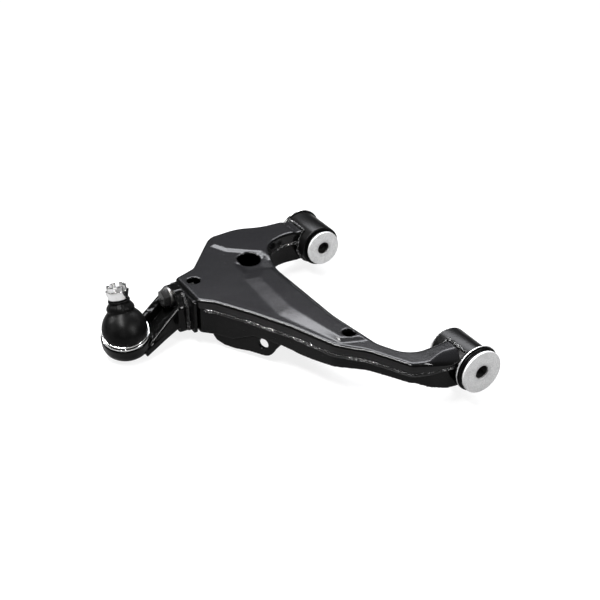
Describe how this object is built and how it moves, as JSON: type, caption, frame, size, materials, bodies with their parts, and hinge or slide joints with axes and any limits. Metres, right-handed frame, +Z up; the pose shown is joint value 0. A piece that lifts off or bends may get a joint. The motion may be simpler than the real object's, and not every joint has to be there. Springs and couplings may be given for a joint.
{
  "type": "suspension control arm",
  "caption": "Lower front suspension control arm: welded pressed-steel A-arm with two pivot bushes, a forged ball joint with castle nut and boot, and a link bracket.",
  "frame": {"origin": "centre of the rear bush's bore, halfway along it", "axes": "+X forward along the pivot axis from the rear bush to the front bush, +Y outboard towards the ball joint, +Z up"},
  "size_m": [0.395, 0.3495, 0.0879],
  "materials": {
    "shell_paint": "satin black paint",
    "gloss_paint": "gloss black paint",
    "forged_paint": "gloss black paint over forged steel",
    "rubber": "satin moulded rubber",
    "plated_disc": "bright matt",
    "sleeve_steel": "drawn steel",
    "zinc": "bright zinc plate",
    "stud_steel": "ground steel",
    "race_plastic": "natural acetal"
  },
  "bodies": {
    "arm": {"upper_shell": "shell_paint", "lower_shell": "gloss_paint", "seam_weld": "gloss_paint", "box_end_plate": "gloss_paint", "rear_bush_tube": "gloss_paint", "front_bush_tube": "gloss_paint", "rear_tube_weld": "gloss_paint", "front_tube_weld": "gloss_paint", "link_bracket": "gloss_paint", "link_bracket_cup": "gloss_paint", "forging_weld": "gloss_paint", "ball_joint_forging": "forged_paint", "forging_bolt": "forged_paint", "forging_bolt_washer": "forged_paint", "forging_weld_nut": "sleeve_steel", "preload_washer": "sleeve_steel", "housing_cover": "forged_paint", "boot_seat_ring": "zinc", "boot_base_ring": "zinc", "rear_bush_outer_sleeve": "gloss_paint", "rear_bush_rubber": "rubber", "front_bush_outer_sleeve": "gloss_paint", "front_bush_rubber": "rubber"},
    "rear_bush_core": {"rear_bush_inner_sleeve": "sleeve_steel", "rear_bush_outer_disc": "plated_disc", "rear_bush_inner_disc": "plated_disc"},
    "front_bush_core": {"front_bush_inner_sleeve": "sleeve_steel", "front_bush_outer_disc": "plated_disc", "front_bush_inner_disc": "plated_disc"},
    "ball_race": {"ball_race": "race_plastic", "dust_boot": "rubber"},
    "boot_collar": {"boot_neck_ring": "rubber"},
    "stud": {"ball_stud": "stud_steel", "castle_nut": "zinc"}
  },
  "joints": [
    {"name": "rear_bush_twist", "type": "hinge", "parent": "arm", "child": "rear_bush_core", "pos_m": [0, 0, 0], "axis": [1, 0, 0], "range_deg": [-25, 25], "stiffness_Nm_per_rad": 8},
    {"name": "front_bush_twist", "type": "hinge", "parent": "arm", "child": "front_bush_core", "pos_m": [0.326, 0, 0], "axis": [1, 0, 0], "range_deg": [-25, 25], "stiffness_Nm_per_rad": 8},
    {"name": "ball_precession", "type": "hinge", "parent": "arm", "child": "ball_race", "pos_m": [0.2469, 0.2919, -0.0197], "axis": [-0.2401, 0.1401, 0.9606], "continuous": true},
    {"name": "ball_tilt", "type": "hinge", "parent": "ball_race", "child": "boot_collar", "pos_m": [0.2469, 0.2919, -0.0197], "axis": [0.2411, 0.9671, -0.0808], "range_deg": [-60, 3.5], "deforming": ["dust_boot"]},
    {"name": "stud_spin", "type": "hinge", "parent": "boot_collar", "child": "stud", "pos_m": [0.2469, 0.2919, -0.0197], "axis": [0.233, 0.0231, 0.9722], "continuous": true}
  ]
}
